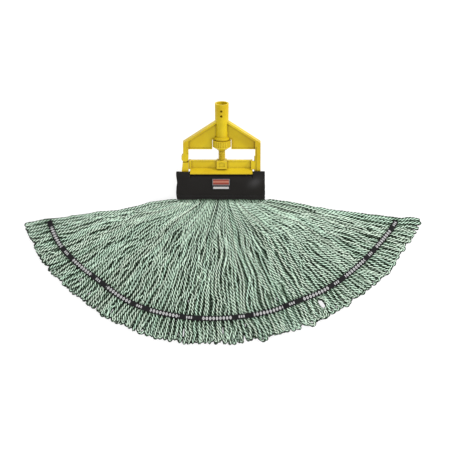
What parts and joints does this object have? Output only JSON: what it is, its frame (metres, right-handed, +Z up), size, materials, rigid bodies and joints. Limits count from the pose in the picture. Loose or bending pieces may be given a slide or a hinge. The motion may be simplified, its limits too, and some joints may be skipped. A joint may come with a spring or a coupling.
{
  "type": "fan-tail wet mop with side-gate clamp",
  "caption": "Looped-end wet mop head fanned out flat, sewn into a black headband that a yellow screw clamp with a side gate holds, with a socket for a round handle.",
  "frame": {"origin": "on the floor, in the clamp's middle plane, straight below the line where the yarn flexes at the lower edge of the headband", "axes": "+Z is up from the floor, -Y is the way the yarn fans out, +Y is the side the handle socket rises towards at 32 degrees above the floor, and +X is to the right seen from the yarn's end looking along +Y"},
  "size_m": [0.9544, 0.5614, 0.1591],
  "materials": {
    "yellow_plastic": "satin",
    "steel": "satin",
    "headband_cloth": "satin",
    "thread": "matte",
    "label": "satin",
    "yarn": "matte",
    "tape": "matte"
  },
  "bodies": {
    "frame": {"frame": "yellow_plastic", "gate_hinge_pin": "yellow_plastic", "hinge_pin_washer": "steel", "latch_pin": "yellow_plastic", "latch_spring": "steel", "thrust_washer": "yellow_plastic"},
    "wheel": {"thumb_wheel": "yellow_plastic"},
    "jaw": {"clamp_screw": "yellow_plastic", "clamp_jaw": "yellow_plastic", "screw_cross_pin": "steel"},
    "gate": {"side_gate": "yellow_plastic", "headband_outer": "headband_cloth", "headband_inner": "headband_cloth", "yarn_core": "yarn", "headband_stitching": "thread", "headband_label": "label"},
    "latch": {"gate_latch": "yellow_plastic"},
    "yarn": {"yarn_front": "yarn", "yarn_rear": "yarn", "tail_band_front": "tape", "tail_band_rear": "tape", "tail_band_stitching": "thread"}
  },
  "joints": [
    {"name": "wheel_spin", "type": "hinge", "parent": "frame", "child": "wheel", "pos_m": [0, 0.1289, 0.09255], "axis": [0, -0.848, -0.5299], "range_deg": [0, 1080]},
    {"name": "jaw_slide", "type": "slide", "parent": "frame", "child": "jaw", "axis": [0, 0.848, 0.5299], "range_m": [0, 0.015]},
    {"name": "gate_swing", "type": "hinge", "parent": "frame", "child": "gate", "pos_m": [-0.088, 0.09837, 0.07347], "axis": [0, 0.5299, -0.848], "range_deg": [0, 95]},
    {"name": "latch_turn", "type": "hinge", "parent": "frame", "child": "latch", "pos_m": [0.084, 0.09498, 0.07135], "axis": [0, 0.5299, -0.848], "range_deg": [0, 4]},
    {"name": "yarn_swing", "type": "hinge", "parent": "gate", "child": "yarn", "pos_m": [0, 0, 0.012], "axis": [1, 0, 0], "range_deg": [-55, 60]}
  ],
  "couplings": [
    {"joint": "jaw_slide", "follows": "wheel_spin", "m_per_rad": 0.00079577}
  ]
}
